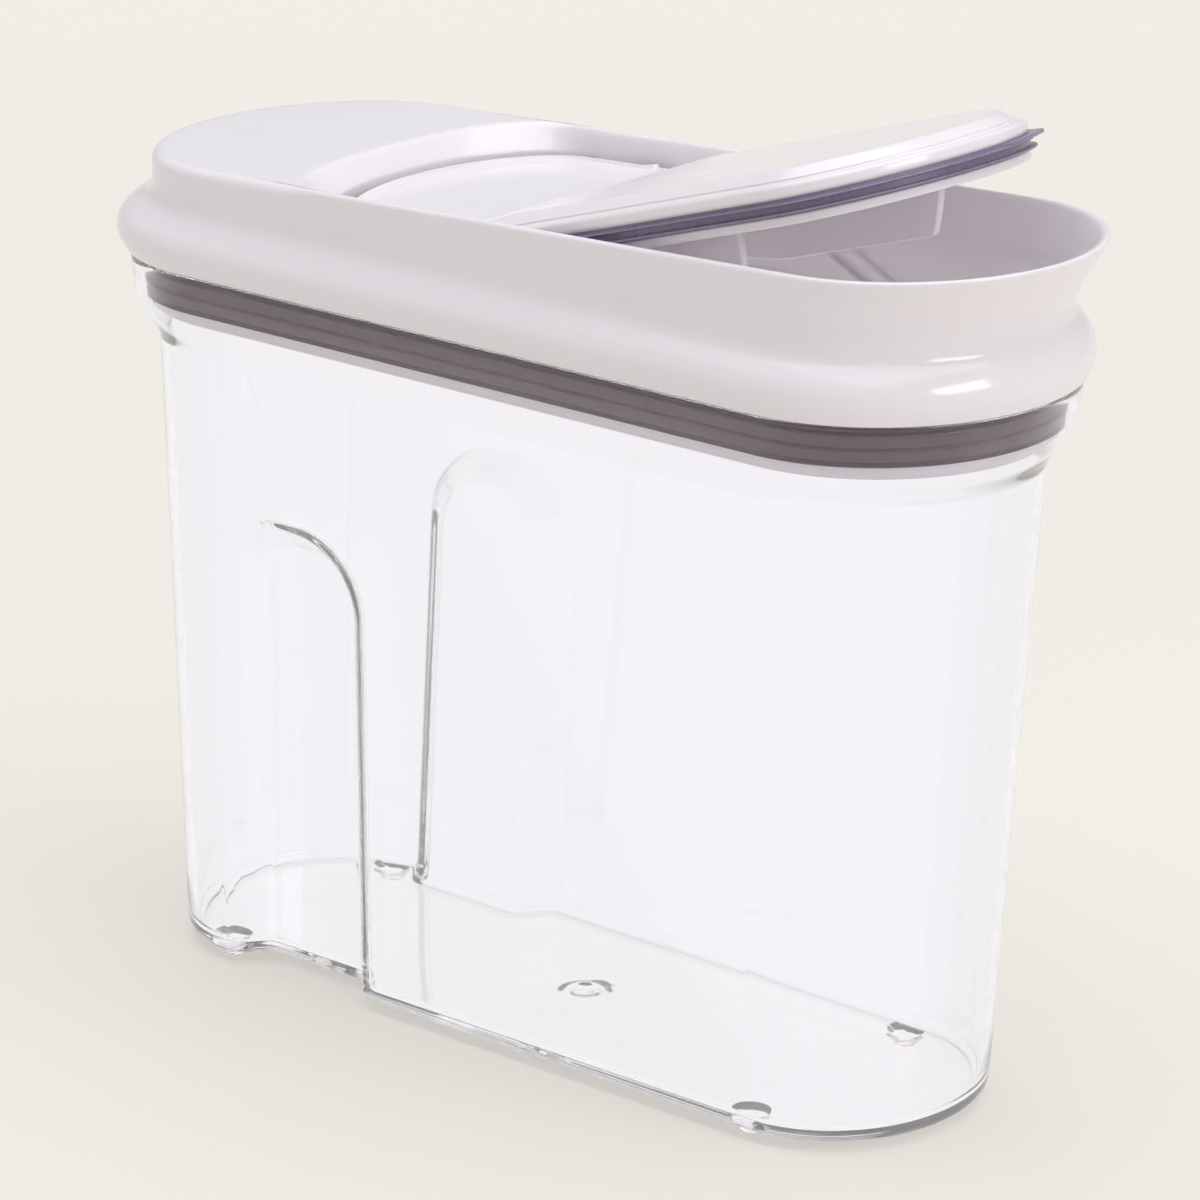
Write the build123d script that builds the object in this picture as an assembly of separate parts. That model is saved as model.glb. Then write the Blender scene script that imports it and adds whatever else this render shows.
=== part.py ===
from build123d import *
import math
import os

# Clear tub: half lengths, half widths and levels of its outer surface
wall = 2.6
foot_height = 2.6
foot_radius = 4.0
foot_root_radius = 5.0
foot_rear_x = -94.5
foot_front_x = 86.2
foot_y = 34.8
base_edge_radius = 3.0
base_half_length = 126.4
base_half_width = 43.2
shoulder_z = 174.5
shoulder_half_length = 133.2
shoulder_half_width = 50.0
collar_low_z = 188.0
collar_step_length = 7.4
collar_step_width = 4.4
collar_top_z = 199.4
collar_flare = 1.4
end_ratio = 0.86

# Grip recesses in both long sides
grip_rear_x = -89.0
grip_front_x = -40.0
grip_top_z = 133.3
grip_corner_radius = 21.5
grip_side_slope = 0.85
grip_wall_y = 34.0
grip_draft = 2.0

# Floor details
gate_x = 4.0
gate_radius = 8.0
gate_depth = 0.6
label_x = 9.0
label_length = 60.0
label_width = 46.0
label_line = 1.0
label_height = 0.4

# Lid gasket
gasket_flange = 0.6
gasket_flange_reach = 0.4
gasket_band = 1.2
gasket_low_z = 188.3
lid_fin_levels = (0.06, 0.4, 0.74)
fin_thickness = 0.7
seal_gap = 0.3

# Plug ring
plug_low_z = 185.0
plug_collar_gap = 3.0
plug_wall = 2.2
plug_flange = 2.0
plug_upstand = 1.0
plug_upstand_wall = 1.6
fit_gap = 0.1

# Lid frame: bulged skirt, waist and flared upper wall
bulge_z = 204.7
bulge_front_out = 2.5
bulge_rear_out = 3.7
bulge_side_out = 2.4
waist_z = 217.5
waist_front_in = 3.5
waist_rear_in = 6.8
waist_side_in = 4.0
rim_front_out = 11.2
rim_side_out = 0.6
rim_mid_z = 231.3
rim_slope = 0.04
lip_radius = 1.2
rim_end_gain = 1.5
skirt_overhang = 1.2

# Press well behind the flap
well_floor_z = 206.4
well_floor = 2.2
well_centre_x = -47.0
well_reach = 21.0
well_flare = 5.5
well_lip_drop = 6.1
partition_x = 12.0
partition_wall = 2.5
partition_drop = 1.0

# Seat of the flap gasket inside the frame
seat_front_in = 7.5
seat_end_depth = 35.5
seat_corner = 9.0

# Hinge and flap, drawn closed and then swung open
pivot_x = -15.6
pivot_z = 213.0
open_angle = 17.5
pin_radius = 3.0
pin_gap = 0.06
pin_end_gap = 0.2
pin_reach = 1.4
boss_radius = 6.0
boss_y = 46.1
ear_y = 45.5
ear_wall = 2.8
ear_radius = 5.5
flange_z = 217.1
flange_thickness = 4.0
flange_tip_gap = 2.0
flange_side_gap = 1.4
flange_depth_gap = 1.5
panel_rise = 6.8
panel_inset = 6.5
panel_bevel = 1.5
panel_skin = 2.4
fold_x = -1.0
pad_slope = 10.0
pad_length = 57.6
pad_end_depth = 26.8
pad_skirt = 6.0
flap_band_height = 4.2
flap_band_inset = 1.8
flap_fin_levels = (0.14, 0.72)
flap_rib_inset = 4.2
flap_rib_wall = 2.2
retainer_inset = 2.4
retainer_plate = 2.4
retainer_spigot = 3.0
retainer_spigot_wall = 1.7
rib_thickness = 2.6
rib_sink = 0.5
centre_fin_drop = 12.6
centre_fin_tip_gap = 16.1
centre_fin_lean = 5.1
centre_fin_nose = 2.0
centre_fin_rear_gap = 28.0
centre_fin_ramp = 10.0
centre_fin_heel = 11.0
centre_fin_heel_rise = 1.8
side_plate_drop = 10.0
side_plate_y = 38.0
side_plate_tip_gap = 51.6
side_plate_lean = 0.9
side_plate_rear_gap = 12.0
side_plate_ramp = 6.0
tab_radius = 4.0
tab_thickness = 1.2
tab_reach = 2.8
tab_ledge_gap = 0.2
tab_angle = 38.0

# Guide ridges on the inner side walls of the spout
ridge_width = 1.1
wide_ridge_width = 2.3
ridge_height = 2.0
ridge_spacing = 11.0
ridge_slope = 26.5
ridge_x = 49.7
ridge_z = 205.0

# Sizes that follow from the ones above
beyond = 500.0
collar_low_half_length = shoulder_half_length + collar_step_length
collar_low_half_width = shoulder_half_width + collar_step_width
collar_half_length = collar_low_half_length + collar_flare
collar_half_width = collar_low_half_width + collar_flare
bulge_front = collar_half_length + bulge_front_out
bulge_rear = collar_half_length + bulge_rear_out
bulge_half_width = collar_half_width + bulge_side_out
waist_front = collar_half_length - waist_front_in
waist_rear = collar_half_length - waist_rear_in
waist_half_width = collar_half_width - waist_side_in
rim_front = waist_front + rim_front_out
rim_half_width = waist_half_width + rim_side_out
seat_front = waist_front - seat_front_in
seat_half_width = waist_half_width - wall

def racetrack(z, front, rear, half, front_depth, rear_depth):
    """Level face with straight sides and half-elliptical ends."""
    front_x = front - front_depth
    rear_x = rear_depth - rear
    edges = [
        EllipticalCenterArc((front_x, 0), front_depth, half, -90, arc_size=180),
        Line((front_x, half), (rear_x, half)),
        EllipticalCenterArc((rear_x, 0), rear_depth, half, 90, arc_size=180),
        Line((rear_x, -half), (front_x, -half)),
    ]
    return Pos(0, 0, z) * make_face(edges)


def skin(rows):
    """Solid through a list of racetrack rows, straight from row to row."""
    return loft([racetrack(*row) for row in rows], ruled=True)


def even(z, length, half):
    """Racetrack row with the same reach to the front and to the rear."""
    return (z, length, length, half, end_ratio * half, end_ratio * half)


def inset(row, amount):
    z, front, rear, half, front_depth, rear_depth = row
    return (z, front - amount, rear - amount, half - amount, front_depth - amount, rear_depth - amount)


def moved(row, z):
    return (z,) + tuple(row[1:])


def between(a, b, t):
    return a + (b - a) * t


def ease(t):
    return t * t * (3 - 2 * t)


def blade(z, amount=0.0):
    """Flap outline: elliptical tip, straight sides and rounded rear corners, taken in from the seat."""
    half = seat_half_width - amount
    depth = seat_end_depth - amount
    centre = seat_front - seat_end_depth
    rear = partition_x + amount
    corner = max(seat_corner - amount, 0.8)
    edges = [
        EllipticalCenterArc((centre, 0), depth, half, -90, arc_size=180),
        Line((centre, half), (rear + corner, half)),
        CenterArc((rear + corner, half - corner), corner, 90, 90),
        Line((rear, half - corner), (rear, corner - half)),
        CenterArc((rear + corner, corner - half), corner, 180, 90),
        Line((rear + corner, -half), (centre, -half)),
    ]
    return Pos(0, 0, z) * make_face(edges)


def tongue(z, tip, half, depth, rear):
    """Outline with an elliptical tip and a square rear end."""
    centre = tip - depth
    edges = [
        EllipticalCenterArc((centre, 0), depth, half, -90, arc_size=180),
        Line((centre, half), (rear, half)),
        Line((rear, half), (rear, -half)),
        Line((rear, -half), (centre, -half)),
    ]
    return Pos(0, 0, z) * make_face(edges)


def block(x0, x1, y0, y1, z0, z1):
    return Pos((x0 + x1) / 2, (y0 + y1) / 2, (z0 + z1) / 2) * Box(x1 - x0, y1 - y0, z1 - z0)


def side_prism(points, y0, y1):
    """Polygon of x and z points, run across from y0 to y1."""
    face = make_face(Polyline(*[(x, y0, z) for x, z in points], close=True))
    return extrude(face, amount=y1 - y0, dir=(0, 1, 0))


def lengthwise_prism(points, x0, x1):
    """Polygon of y and z points, run along from x0 to x1."""
    face = make_face(Polyline(*[(x0, y, z) for y, z in points], close=True))
    return extrude(face, amount=x1 - x0, dir=(1, 0, 0))


def both_sides(shape):
    return shape + mirror(shape, about=Plane.XZ)


# Rows of the tub's outer surface
def tub_rows():
    rows = []
    for step in (0.0, 0.35, 0.65, 1.0):
        angle = math.radians(90 * step)
        cut = base_edge_radius * (1 - math.sin(angle))
        rise = base_edge_radius * (1 - math.cos(angle))
        row = even(foot_height + rise, base_half_length, base_half_width)
        rows.append(inset(row, cut))
    for step in (0.0, 0.2, 0.4, 0.6, 0.8, 1.0):
        z = between(shoulder_z, collar_low_z, step)
        length = between(shoulder_half_length, collar_low_half_length, ease(step))
        half = between(shoulder_half_width, collar_low_half_width, ease(step))
        rows.append(even(z, length, half))
    collar_length = collar_low_half_length + collar_flare
    collar_half = collar_low_half_width + collar_flare
    rows.append(even(collar_top_z, collar_length, collar_half))
    return rows


def grip_outline(height, grow):
    """Arch of the near grip, drawn at a height over the leaning wall and grown by the given amount."""
    base_z = foot_height + base_edge_radius
    lean = math.atan2(shoulder_half_width - base_half_width, shoulder_z - base_z)
    outward = (0, -math.cos(lean), -math.sin(lean))
    wall_face = Plane(origin=(0, -base_half_width, base_z), x_dir=(1, 0, 0), z_dir=outward)
    x0 = grip_rear_x - grow
    x1 = grip_front_x + grow
    top = grip_top_z - base_z + grow
    r = grip_corner_radius + grow
    low = -2 * base_z
    k = r * (1 - math.sqrt(0.5))
    edges = [
        Line((x0, low), (x0, top - r)),
        ThreePointArc((x0, top - r), (x0 + k, top - k), (x0 + r, top)),
        Line((x0 + r, top), (x1 - r, top)),
        ThreePointArc((x1 - r, top), (x1 - k, top - k), (x1, top - r)),
        Line((x1, top - r), (x1, low)),
        Line((x1, low), (x0, low)),
    ]
    return wall_face.offset(height) * make_face(edges)


def grip(grow):
    """Space of the near grip recess, grown on every side by the given amount."""
    spread = grow * math.hypot(1, grip_side_slope)
    reach = 12.0
    shallow = grip_outline(reach, spread + grip_side_slope * reach)
    deep = grip_outline(-reach, spread - grip_side_slope * reach)
    arch = loft([shallow, deep], ruled=True)
    wall_y = grip_wall_y - grow
    lean = math.tan(math.radians(grip_draft))
    low = -5.0
    high = grip_top_z + 20
    slab = lengthwise_prism(
        [
            (-wall_y + (foot_height - low) * lean, low),
            (-beyond, low),
            (-beyond, high),
            (-wall_y - (high - foot_height) * lean, high),
        ],
        grip_rear_x - beyond,
        grip_front_x + beyond,
    )
    return arch & slab


def make_container_body():
    outer_rows = tub_rows()
    floor_top = foot_height + wall
    outer = skin(outer_rows)
    shoulder = [inset(row, wall) for row in outer_rows[4:]]
    low = inset(even(floor_top + wall, base_half_length, base_half_width), wall)
    inner_rows = [moved(inset(low, wall * 0.6), floor_top), moved(inset(low, wall * 0.15), floor_top + 1), low]
    inner_rows += shoulder
    inner_rows[-1] = moved(inner_rows[-1], collar_top_z + 1)
    inner = skin(inner_rows)
    outer -= both_sides(grip(0))
    inner -= both_sides(grip(wall))
    tub = outer - inner
    for x in (foot_rear_x, foot_front_x):
        for y in (-foot_y, foot_y):
            foot = Pos(x, y, foot_height / 2 + 0.5) * Cone(foot_radius, foot_root_radius + 0.4, foot_height + 1)
            tub += foot
            dimple = Pos(x, y, floor_top - 1.4) * Cone(foot_radius - 1.4, foot_root_radius + 1, 3)
            tub -= dimple
    gate = Pos(gate_x, 0, foot_height + gate_depth / 2) * Cylinder(gate_radius, gate_depth)
    tub -= gate
    tub += Pos(gate_x, 0, foot_height + gate_depth / 2) * Cone(1.2, 2.0, gate_depth)
    frame_line = RectangleRounded(label_length, label_width, 6)
    frame_line -= RectangleRounded(label_length - 2 * label_line, label_width - 2 * label_line, 5)
    tub -= Pos(label_x, 0, foot_height) * extrude(frame_line, amount=label_height)
    return tub


# The collar's inner surface, which the plug and its gasket follow
collar_in_length = collar_low_half_length - wall
collar_in_half = collar_low_half_width - wall
collar_rate = collar_flare / (collar_top_z - collar_low_z)
plug_length = collar_in_length + collar_flare - plug_collar_gap
plug_half = collar_in_half + collar_flare - plug_collar_gap
frame_low_z = collar_top_z + gasket_flange


def make_lid_gasket():
    core = even(gasket_low_z, plug_length + gasket_band, plug_half + gasket_band)
    seal = skin([core, moved(core, collar_top_z)])
    height = collar_top_z - gasket_low_z
    for level in lid_fin_levels:
        z = gasket_low_z + level * height
        grow = collar_rate * (z - collar_low_z) - seal_gap
        fin = even(z, collar_in_length + grow, collar_in_half + grow)
        seal += skin([fin, moved(fin, z + fin_thickness)])
    reach = collar_flare + wall + gasket_flange_reach
    top = even(collar_top_z, collar_in_length + reach, collar_in_half + reach)
    seal += skin([top, moved(top, frame_low_z)])
    hole = even(gasket_low_z - 1, plug_length, plug_half)
    return seal - skin([hole, moved(hole, frame_low_z + 1)])


def make_lid_plug_ring():
    outside = even(plug_low_z, plug_length, plug_half)
    ring = skin([outside, moved(outside, frame_low_z)])
    inside = inset(outside, plug_wall)
    ring -= skin([moved(inside, plug_low_z - 1), moved(inside, frame_low_z - plug_flange)])
    upstand = core_row(fit_gap)
    ring += skin([upstand, moved(upstand, frame_low_z + plug_upstand)])
    hole = core_row(fit_gap + plug_upstand_wall)
    ring -= skin([moved(hole, plug_low_z - 1), moved(hole, frame_low_z + plug_upstand + 1)])
    return ring


def core_row(amount):
    """Inner wall of the lid frame below the waist, taken in by the given amount."""
    rear = waist_rear - wall
    half = seat_half_width
    row = (frame_low_z, seat_front, rear, half, seat_end_depth, end_ratio * half)
    return inset(row, amount)


def frame_rows():
    """Rows of the frame's outer surface, from the seam to well above the rim."""
    low_length = collar_low_half_length + collar_flare + skirt_overhang
    low_half = collar_low_half_width + collar_flare + skirt_overhang
    depth = end_ratio * low_half
    waist_depth = end_ratio * waist_half_width
    top_z = rim_mid_z + 12.0
    rim_front_z = rim_mid_z + rim_slope * rim_front
    gain = (top_z - waist_z) / (rim_front_z - waist_z)
    top_front = between(waist_front, rim_front, gain)
    top_half = between(waist_half_width, rim_half_width, gain)
    rows = []
    for step in (0.0, 0.33, 0.66, 1.0):
        swell = math.sin(math.radians(90 * step))
        z = between(frame_low_z, bulge_z, step)
        front = between(low_length, bulge_front, swell)
        rear = between(low_length, bulge_rear, swell)
        half = between(low_half, bulge_half_width, swell)
        rows.append((z, front, rear, half, depth, depth))
    for step in (0.17, 0.33, 0.5, 0.65, 0.8, 1.0):
        fall = ease(step)
        z = between(bulge_z, waist_z, step)
        front = between(bulge_front, waist_front, fall)
        rear = between(bulge_rear, waist_rear, fall)
        half = between(bulge_half_width, waist_half_width, fall)
        end = between(depth, waist_depth, fall)
        rows.append((z, front, rear, half, end, end))
    rows.append((top_z, top_front, waist_rear, top_half, waist_depth + rim_end_gain, waist_depth))
    return rows


def above_rim(drop):
    """Everything above the sloping plane of the deck and rim, lowered by the given amount."""
    low = rim_mid_z - rim_slope * beyond - drop
    high = rim_mid_z + rim_slope * beyond - drop
    top = high + beyond
    return side_prism([(-beyond, low), (beyond, high), (beyond, top), (-beyond, top)], -beyond, beyond)


def well_outline(z, reach, half, power, front):
    """Press well outline: a squared-off ellipse to the rear and a straight front."""
    points = []
    for i in range(7):
        angle = math.radians(15 * i)
        x = well_centre_x - reach * math.sin(angle) ** (2 / power)
        y = half * math.cos(angle) ** (2 / power)
        points.append((x, y))
    far_side = Spline(*points, tangents=[(-1, 0), (0, -1)])
    near_side = Spline(*[(x, -y) for x, y in reversed(points)], tangents=[(0, -1), (1, 0)])
    edges = [
        far_side,
        near_side,
        Line((well_centre_x, -half), (front, -half)),
        Line((front, -half), (front, half)),
        Line((front, half), (well_centre_x, half)),
    ]
    return Pos(0, 0, z) * make_face(edges)


def well(grow, floor_z, front):
    """Space of the press well with its flared rear lip, grown outward by the given amount."""
    lip_z = rim_mid_z + rim_slope * well_centre_x
    half = seat_half_width + grow
    reach = well_reach + grow
    sections = [
        well_outline(floor_z, reach - 1, half, 2, front),
        well_outline(lip_z - well_lip_drop, reach, half, 2, front),
        well_outline(lip_z - well_lip_drop / 2, reach + 0.35 * well_flare, half + 1, 2.2, front),
        well_outline(lip_z, reach + well_flare, half + 2.8, 2.6, front),
        well_outline(lip_z + 12, reach + well_flare + 2, half + 3, 2.6, front),
    ]
    return loft(sections, ruled=True)


def make_lid_frame():
    rows = frame_rows()
    shell = skin(rows) - above_rim(0)
    upper = [inset(rows[-2], wall), inset(rows[-1], wall)]
    upper = [row[:4] + (row[4] - 2.0,) + row[5:] for row in upper]
    inside_upper = skin([moved(upper[0], waist_z - partition_drop), moved(upper[0], waist_z), upper[1]])
    core = skin([core_row(0), moved(core_row(0), waist_z)])
    room = core + inside_upper

    passage = extrude(blade(frame_low_z - 1), amount=waist_z - frame_low_z + 1)
    open_top = inside_upper & block(well_centre_x, beyond, -beyond, beyond, waist_z - partition_drop, beyond)
    press_well = well(0, well_floor_z, partition_x - partition_wall) & room
    low_room = skin([moved(core_row(0), frame_low_z - 1), moved(core_row(0), well_floor_z - well_floor)])
    rear_core = skin([moved(core_row(0), frame_low_z - 1), moved(core_row(0), rim_mid_z)])
    rear_core &= block(-beyond, partition_x, -beyond, beyond, frame_low_z - 1, beyond)
    rear_hollow = rear_core - above_rim(wall) - well(wall, well_floor_z - well_floor, partition_x)

    pocket_rows = [moved(inset(rows[0], wall), frame_low_z - 1)]
    pocket_rows += [inset(row, wall) for row in rows[:6]]
    pocket = skin(pocket_rows)
    keep = core_row(-wall)
    pocket -= skin([moved(keep, frame_low_z - 2), moved(keep, waist_z + 2)])

    frame = shell - passage - open_top - press_well - low_room - rear_hollow - pocket
    frame = rounded_rim(frame)
    frame += both_sides(hinge_boss())
    frame -= both_sides(hinge_socket())
    frame += both_sides(guide_ridges())
    return frame


def rounded_rim(frame):
    """Round the outer edge in the sloping plane of the deck and rim."""
    outer = [edge for edge in rim_edges(frame) if frame_reach(edge) > waist_half_width - wall / 2]
    return fillet(outer, min(lip_radius, 0.46 * wall))


def rim_edges(frame):
    edges = []
    for edge in frame.edges():
        points = [edge @ t for t in (0, 0.25, 0.5, 0.75, 1)]
        if all(abs(point.Z - rim_mid_z - rim_slope * point.X) < 0.02 for point in points):
            edges.append(edge)
    return edges


def frame_reach(edge):
    box = edge.bounding_box()
    return max(abs(box.min.Y), abs(box.max.Y))


def hinge_boss():
    length = seat_half_width + 0.5 - boss_y
    boss = Rot(90, 0, 0) * Cylinder(boss_radius, length)
    boss = Pos(pivot_x, -(boss_y + length / 2), pivot_z) * boss
    drop = pivot_z - well_floor_z
    web = block(
        pivot_x - boss_radius,
        pivot_x + boss_radius,
        -(boss_y + length),
        -boss_y,
        well_floor_z - 0.5,
        well_floor_z + drop,
    )
    return boss + web


def hinge_socket():
    end = pin_end() + pin_end_gap
    length = end - boss_y + 1
    hole = Rot(90, 0, 0) * Cylinder(pin_radius + pin_gap, length)
    return Pos(pivot_x, -(boss_y - 1 + length / 2), pivot_z) * hole


def pin_end():
    return seat_half_width + pin_reach


def guide_ridges():
    """A thin and a wide ridge, side by side, that slope down to the front on the near wall."""
    slope = math.radians(ridge_slope)
    top = flange_z - flap_band_height - 0.4
    low = frame_low_z + plug_upstand + 0.2
    ridges = []
    for x, width in ((ridge_x, ridge_width), (ridge_x + ridge_spacing, wide_ridge_width)):
        x0 = x - (top - ridge_z) / math.tan(slope)
        x1 = x + (ridge_z - low) / math.tan(slope)
        rise = width / math.cos(slope)
        outline = [(x0, top - rise), (x1, low), (x1, low + rise), (x0, top)]
        ridges.append(side_prism(outline, -seat_half_width - 0.5, -seat_half_width + ridge_height))
    return ridges[0] + ridges[1]


def swung(shape):
    """Swing a flap piece from closed to open about the hinge pins."""
    hinge = Axis((pivot_x, 0, pivot_z), (0, 1, 0))
    return shape.rotate(hinge, -open_angle)


def pad_profile(depth):
    """Side outline of the pad and the rear of the panel, of the given depth."""
    top = flange_z + panel_rise
    rise = pad_length * math.tan(math.radians(pad_slope))
    end_x = fold_x - pad_length
    return [
        (fold_x + 9, top),
        (fold_x, top),
        (end_x, top + rise),
        (end_x, top + rise - depth),
        (fold_x, top - depth),
        (fold_x + 9, top - depth),
    ]


def make_flap_panel():
    tip = seat_front - flange_tip_gap
    half = seat_half_width - flange_side_gap
    depth = seat_end_depth - flange_depth_gap
    panel = extrude(flange_outline(), amount=flange_thickness)
    top = flange_z + panel_rise
    step = panel_inset - panel_bevel
    low_face = tongue(flange_z + flange_thickness, tip - step, half - step, depth - step, fold_x)
    high_face = tongue(top, tip - panel_inset, half - panel_inset, depth - panel_inset, fold_x)
    panel += loft([low_face, high_face], ruled=True)
    hollow_depth = panel_rise - panel_skin
    inner = blade(flange_z - 1, flap_rib_inset + flap_rib_wall)
    panel -= extrude(inner, amount=hollow_depth + 1)
    gap_half = half - panel_inset - panel_skin
    gap_top = top - panel_skin
    panel -= block(fold_x + panel_skin, partition_x + 1, -gap_half, gap_half, flange_z - 1, gap_top)

    end_x = fold_x - pad_length
    plan = tongue(flange_z - 5, -end_x, ear_y, pad_end_depth, -(fold_x + 1)).mirror(Plane.YZ)
    plan_in = tongue(flange_z - 5, -end_x - panel_skin, ear_y - panel_skin, pad_end_depth - panel_skin, -(fold_x + 2))
    plan_in = plan_in.mirror(Plane.YZ)
    pad_space = extrude(plan, amount=beyond, dir=(0, 0, 1))
    pad_core = extrude(plan_in, amount=beyond, dir=(0, 0, 1))
    pad = side_prism(pad_profile(panel_skin), -beyond, beyond) & pad_space
    skirt = side_prism(pad_profile(pad_skirt), -beyond, beyond) & (pad_space - pad_core)
    root = block(fold_x, fold_x + 1, -ear_y, ear_y, flange_z + flange_thickness - 1, top - panel_skin / 2)
    panel += pad + skirt + root

    ribs = blade(flange_z - flap_band_height, flap_rib_inset)
    ribs -= blade(flange_z - flap_band_height, flap_rib_inset + flap_rib_wall)
    panel += extrude(ribs, amount=flap_band_height, dir=(0, 0, 1))
    panel += both_sides(flap_ear())
    return swung(panel)


def flap_ear():
    top = flange_z + panel_rise
    plate = block(pivot_x - ear_radius, pivot_x + ear_radius, -ear_y, -ear_y + ear_wall, pivot_z, top)
    disc = Pos(pivot_x, -ear_y + ear_wall / 2, pivot_z) * (Rot(90, 0, 0) * Cylinder(ear_radius, ear_wall))
    pin_length = pin_end() - ear_y + 1
    pin = Pos(pivot_x, -(pin_end() - pin_length / 2), pivot_z) * (Rot(90, 0, 0) * Cylinder(pin_radius, pin_length))
    return plate + disc + pin


def make_flap_gasket():
    low = flange_z - flap_band_height
    seal = extrude(blade(low, flap_band_inset), amount=flap_band_height)
    for level in flap_fin_levels:
        z = low + level * flap_band_height
        seal += extrude(blade(z, seal_gap), amount=fin_thickness)
    seal -= extrude(blade(low - 1, flap_rib_inset), amount=flap_band_height + 2)
    root_z = low + flap_fin_levels[1] * flap_band_height
    root = pull_tab(root_z, waist_z + tab_ledge_gap) & extrude(blade(root_z, seal_gap), amount=flap_band_height)
    tab = pull_tab(waist_z + tab_ledge_gap, waist_z + tab_ledge_gap + tab_thickness)
    return swung(seal + ((root + tab) - extrude(flange_outline(flap_band_inset), amount=panel_rise)))


def pull_tab(z0, z1):
    """Rounded tongue on the upper fin, at the far side of the tip."""
    angle = math.radians(tab_angle)
    normal_x = math.cos(angle) / seat_end_depth
    normal_y = math.sin(angle) / seat_half_width
    size = math.hypot(normal_x, normal_y)
    reach = tab_reach - tab_radius
    x = seat_front - seat_end_depth + seat_end_depth * math.cos(angle) + reach * normal_x / size
    y = seat_half_width * math.sin(angle) + reach * normal_y / size
    return Pos(x, y, (z0 + z1) / 2) * Cylinder(tab_radius, z1 - z0)


def flange_outline(z_drop=0.0):
    """Outline of the flap's flange, drawn at the flange's underside lowered by the given amount."""
    tip = seat_front - flange_tip_gap
    half = seat_half_width - flange_side_gap
    return tongue(flange_z - z_drop, tip, half, seat_end_depth - flange_depth_gap, fold_x)


def make_flap_retainer():
    top = flange_z - flap_band_height
    low = top - retainer_plate
    plate = extrude(blade(low, retainer_inset), amount=retainer_plate)
    spigot_out = flap_rib_inset + flap_rib_wall + fit_gap
    spigot = blade(top, spigot_out) - blade(top, spigot_out + retainer_spigot_wall)
    plate += extrude(spigot, amount=retainer_spigot, dir=(0, 0, 1))
    root = low + rib_sink
    fin_low = low - centre_fin_drop
    fin_front = seat_front - centre_fin_tip_gap
    fin_rear = partition_x + centre_fin_rear_gap
    fin_outline = [
        (fin_rear, root),
        (fin_rear + centre_fin_ramp, fin_low + centre_fin_heel_rise),
        (fin_rear + centre_fin_ramp + centre_fin_heel, fin_low),
        (fin_front - centre_fin_lean - centre_fin_nose, fin_low),
        (fin_front - centre_fin_lean, fin_low + centre_fin_nose),
        (fin_front, root),
    ]
    fin = side_prism(fin_outline, -rib_thickness / 2, rib_thickness / 2)
    side_low = low - side_plate_drop
    side_front = seat_front - side_plate_tip_gap
    side_rear = partition_x + side_plate_rear_gap
    side_outline = [
        (side_rear, root),
        (side_rear + side_plate_ramp, side_low),
        (side_front - side_plate_lean, side_low),
        (side_front, root),
    ]
    side = side_prism(side_outline, -side_plate_y - rib_thickness / 2, -side_plate_y + rib_thickness / 2)
    return swung(plate + fin + both_sides(side))


os.makedirs("parts", exist_ok=True)
pieces = {
    "container_body": make_container_body(),
    "lid_frame": make_lid_frame(),
    "lid_plug_ring": make_lid_plug_ring(),
    "lid_gasket": make_lid_gasket(),
    "flap_panel": make_flap_panel(),
    "flap_gasket": make_flap_gasket(),
    "flap_retainer": make_flap_retainer(),
}
for name, shape in pieces.items():
    export_step(shape, "parts/" + name + ".step")
    box = shape.bounding_box()
    print(name, "solids", len(shape.solids()), "volume", round(shape.volume / 1000, 1), box.min, box.max)
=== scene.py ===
import math

import bmesh
import bpy
import numpy as np
from mathutils import Matrix, Vector


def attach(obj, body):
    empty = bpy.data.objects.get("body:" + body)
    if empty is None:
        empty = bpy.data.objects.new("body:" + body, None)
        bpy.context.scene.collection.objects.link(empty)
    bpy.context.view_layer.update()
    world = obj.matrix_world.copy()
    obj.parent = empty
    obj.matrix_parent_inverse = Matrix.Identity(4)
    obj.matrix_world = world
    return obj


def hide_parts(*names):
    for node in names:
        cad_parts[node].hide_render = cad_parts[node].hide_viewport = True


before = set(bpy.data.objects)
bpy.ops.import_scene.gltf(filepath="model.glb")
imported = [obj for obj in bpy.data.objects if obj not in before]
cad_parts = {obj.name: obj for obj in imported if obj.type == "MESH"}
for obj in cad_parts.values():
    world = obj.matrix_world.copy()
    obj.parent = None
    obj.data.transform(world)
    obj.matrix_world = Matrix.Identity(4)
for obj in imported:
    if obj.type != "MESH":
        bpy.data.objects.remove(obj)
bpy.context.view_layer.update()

# Sizes are in millimetres, the same as the solids, and MM turns them into metres
MM = 0.001
WALL = 2.6
END_RATIO = 0.86

# The tub: levels, half length and half width as (foot of the wall, shoulder, step there), rim, floor and feet
WALL_FOOT, SHOULDER, COLLAR_FOOT, COLLAR_TOP = 5.6, 174.5, 188.0, 199.4
SHOULDER_HEIGHT, COLLAR_HEIGHT, COLLAR_FLARE = 13.5, 11.4, 1.4
TUB_LENGTH, TUB_HALF = (126.4, 133.2, 7.4), (43.2, 50.0, 4.4)
COLLAR_LENGTH, COLLAR_HALF = 142.0, 55.8
HALF_STRAIGHT = 89.6
FOOT_ROUND, INNER_FOOT = 3.0, 8.2
RIM_START, RIM_ROUND = 198.6, 0.8
FOOT_HEIGHT = 2.6
FEET = [(-94.5, -34.8), (-94.5, 34.8), (86.2, -34.8), (86.2, 34.8)]
GATE_X = 4.0

# The two grips in the tub's sides
GRIP_MIDDLE, GRIP_HALF, GRIP_TOP, GRIP_CORNER = -64.5, 24.5, 133.3, 21.5
GRIP_SLOPE, GRIP_FLOOR, GRIP_DRAFT = 0.85, 34.0, math.radians(2.0)
GRIP_LEAST = 3.0

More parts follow.
